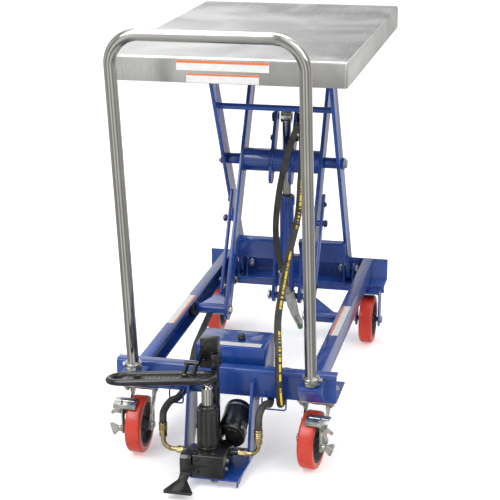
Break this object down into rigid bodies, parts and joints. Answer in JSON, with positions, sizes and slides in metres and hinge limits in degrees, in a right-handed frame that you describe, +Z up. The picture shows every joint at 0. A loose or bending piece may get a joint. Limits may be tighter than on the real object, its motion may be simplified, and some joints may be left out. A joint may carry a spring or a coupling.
{
  "type": "scissor lift table",
  "caption": "Wheeled hydraulic scissor lift table with a flat stainless deck, a push handle, swivel front casters and a foot-operated pump.",
  "frame": {"origin": "on the floor, below the middle of the table's bounding box", "axes": "+X across the table to the operator's right, +Y from the push handle to the rear of the table, +Z up"},
  "size_m": [0.5, 1.06, 0.9484],
  "materials": {
    "blue_paint": "glossy royal blue enamel",
    "stainless_steel": "lightly brushed stainless sheet",
    "chrome": "bright plated tube and rods",
    "zinc_plate": "dull zinc plating",
    "black_paint": "satin black enamel",
    "wheel_tread": "red polyurethane, semi-gloss",
    "black_nylon": "moulded black nylon",
    "hose_rubber": "ribbed hydraulic hose cover",
    "yellow_zinc": "yellow passivated steel fittings",
    "bare_casting": "as-cast light grey metal"
  },
  "bodies": {
    "root": {"front_cross_member": "blue_paint", "rear_cross_member": "blue_paint", "rail_left": "blue_paint", "rail_right": "blue_paint", "rear_wheel_fork_left": "blue_paint", "rear_wheel_fork_right": "blue_paint", "caster_plate_left": "zinc_plate", "caster_plate_right": "zinc_plate", "push_handle": "chrome", "handle_collar_left": "zinc_plate", "handle_collar_right": "zinc_plate", "oil_reservoir": "blue_paint", "breather_cap": "black_paint", "pump_cradle": "blue_paint", "pump_block": "black_paint", "pump_barrel": "black_paint", "pump_tower": "black_paint", "pump_canister": "black_paint", "lift_hose_fitting": "yellow_zinc", "return_hose_fitting": "yellow_zinc", "rear_hose_fitting": "yellow_zinc", "lift_hose": "hose_rubber", "return_hose": "hose_rubber", "hose_guide_left": "blue_paint", "hose_guide_right": "blue_paint"},
    "outer_legs": {"outer_leg_left": "blue_paint", "outer_leg_right": "blue_paint", "tie_tube": "blue_paint", "cross_plate": "blue_paint"},
    "inner_legs": {"inner_leg_left": "blue_paint", "inner_leg_right": "blue_paint", "torque_tube": "blue_paint"},
    "deck": {"deck_pan": "stainless_steel", "deck_rail_left": "blue_paint", "deck_rail_right": "blue_paint"},
    "cylinder_barrel": {"cylinder_barrel": "blue_paint", "cylinder_valve": "bare_casting"},
    "cylinder_rod": {"cylinder_rod": "chrome"},
    "rail_roller_left": {"rail_roller_left": "black_nylon"},
    "rail_roller_right": {"rail_roller_right": "black_nylon"},
    "deck_roller_left": {"deck_roller_left": "black_nylon"},
    "deck_roller_right": {"deck_roller_right": "black_nylon"},
    "safety_prop_left": {"safety_prop_left": "blue_paint"},
    "safety_prop_right": {"safety_prop_right": "blue_paint"},
    "pump_pedal": {"pump_pedal": "black_paint"},
    "pump_plunger": {"pump_plunger": "chrome"},
    "release_pedal": {"release_pedal": "black_paint"},
    "caster_left": {"caster_fork_left": "zinc_plate"},
    "caster_right": {"caster_fork_right": "zinc_plate"},
    "brake_left": {"brake_lever_left": "zinc_plate"},
    "brake_right": {"brake_lever_right": "zinc_plate"},
    "front_wheel_left": {"front_wheel_left_tyre": "wheel_tread", "front_wheel_left_hub": "black_nylon"},
    "front_wheel_right": {"front_wheel_right_tyre": "wheel_tread", "front_wheel_right_hub": "black_nylon"},
    "rear_wheel_left": {"rear_wheel_left_tyre": "wheel_tread", "rear_wheel_left_hub": "black_nylon"},
    "rear_wheel_right": {"rear_wheel_right_tyre": "wheel_tread", "rear_wheel_right_hub": "black_nylon"}
  },
  "joints": [
    {"name": "table_fold", "type": "hinge", "parent": "root", "child": "outer_legs", "pos_m": [0, 0.49127, 0.1765], "axis": [1, 0, 0], "range_deg": [0, 51.5], "deforming": ["lift_hose"]},
    {"name": "leg_cross", "type": "hinge", "parent": "outer_legs", "child": "inner_legs", "pos_m": [0, 0.30657, 0.511], "axis": [1, 0, 0], "range_deg": [-103.5, 0]},
    {"name": "deck_level", "type": "hinge", "parent": "inner_legs", "child": "deck", "pos_m": [0, 0.49127, 0.8455], "axis": [1, 0, 0], "range_deg": [0, 52]},
    {"name": "cylinder_swing", "type": "hinge", "parent": "outer_legs", "child": "cylinder_barrel", "pos_m": [0, 0.36547, 0.135], "axis": [1, 0, 0], "range_deg": [-6.88, 0]},
    {"name": "cylinder_stroke", "type": "slide", "parent": "cylinder_barrel", "child": "cylinder_rod", "axis": [0, 0.0189, -0.9998], "range_m": [0, 0.1721]},
    {"name": "rail_roller_spin_left", "type": "hinge", "parent": "inner_legs", "child": "rail_roller_left", "pos_m": [-0.187, 0.12187, 0.1765], "axis": [1, 0, 0], "continuous": true},
    {"name": "rail_roller_spin_right", "type": "hinge", "parent": "inner_legs", "child": "rail_roller_right", "pos_m": [0.187, 0.12187, 0.1765], "axis": [1, 0, 0], "continuous": true},
    {"name": "deck_roller_spin_left", "type": "hinge", "parent": "outer_legs", "child": "deck_roller_left", "pos_m": [-0.1595, 0.12187, 0.8455], "axis": [1, 0, 0], "continuous": true},
    {"name": "deck_roller_spin_right", "type": "hinge", "parent": "outer_legs", "child": "deck_roller_right", "pos_m": [0.1595, 0.12187, 0.8455], "axis": [1, 0, 0], "continuous": true},
    {"name": "safety_prop_swing_left", "type": "hinge", "parent": "inner_legs", "child": "safety_prop_left", "pos_m": [-0.115, 0.21527, 0.38232], "axis": [1, 0, 0], "range_deg": [-30, 0]},
    {"name": "safety_prop_swing_right", "type": "hinge", "parent": "inner_legs", "child": "safety_prop_right", "pos_m": [0.115, 0.21527, 0.38232], "axis": [1, 0, 0], "range_deg": [-30, 0]},
    {"name": "pump_pedal_press", "type": "hinge", "parent": "root", "child": "pump_pedal", "pos_m": [-0.04, -0.37353, 0.24], "axis": [1, 0, 0], "range_deg": [0, 25], "stiffness_Nm_per_rad": 2, "springref_deg": -28.65},
    {"name": "pump_plunger_stroke", "type": "slide", "parent": "root", "child": "pump_plunger", "axis": [0, 0, -1], "range_m": [0, 0.018]},
    {"name": "release_pedal_press", "type": "hinge", "parent": "root", "child": "release_pedal", "pos_m": [-0.0479, -0.43553, 0.046], "axis": [1, 0, 0], "range_deg": [0, 5], "stiffness_Nm_per_rad": 1, "springref_deg": -28.65},
    {"name": "caster_swivel_left", "type": "hinge", "parent": "root", "child": "caster_left", "pos_m": [-0.1914, -0.26753, 0.13], "axis": [0, 0, 1], "continuous": true},
    {"name": "caster_swivel_right", "type": "hinge", "parent": "root", "child": "caster_right", "pos_m": [0.1974, -0.26753, 0.13], "axis": [0, 0, 1], "continuous": true},
    {"name": "brake_press_left", "type": "hinge", "parent": "caster_left", "child": "brake_left", "pos_m": [-0.1914, -0.32533, 0.1], "axis": [1, 0, 0], "range_deg": [0, 8]},
    {"name": "brake_press_right", "type": "hinge", "parent": "caster_right", "child": "brake_right", "pos_m": [0.19086, -0.32496, 0.1], "axis": [0.9936, -0.1132, 0], "range_deg": [0, 8]},
    {"name": "front_wheel_spin_left", "type": "hinge", "parent": "caster_left", "child": "front_wheel_left", "pos_m": [-0.1914, -0.31533, 0.0625], "axis": [1, 0, 0], "continuous": true},
    {"name": "front_wheel_spin_right", "type": "hinge", "parent": "caster_right", "child": "front_wheel_right", "pos_m": [0.19199, -0.31502, 0.0625], "axis": [0.9936, -0.1132, 0], "continuous": true},
    {"name": "rear_wheel_spin_left", "type": "hinge", "parent": "root", "child": "rear_wheel_left", "pos_m": [-0.2038, 0.43317, 0.0625], "axis": [1, 0, 0], "continuous": true},
    {"name": "rear_wheel_spin_right", "type": "hinge", "parent": "root", "child": "rear_wheel_right", "pos_m": [0.2038, 0.43317, 0.0625], "axis": [1, 0, 0], "continuous": true}
  ],
  "couplings": [
    {"joint": "leg_cross", "follows": "table_fold", "ratio": -2},
    {"joint": "deck_level", "follows": "table_fold", "ratio": 1},
    {"joint": "cylinder_swing", "follows": "table_fold", "ratio": -0.12399},
    {"joint": "cylinder_stroke", "follows": "table_fold", "m_per_rad": 0.19037},
    {"joint": "pump_plunger_stroke", "follows": "pump_pedal_press", "m_per_rad": 0.04}
  ]
}
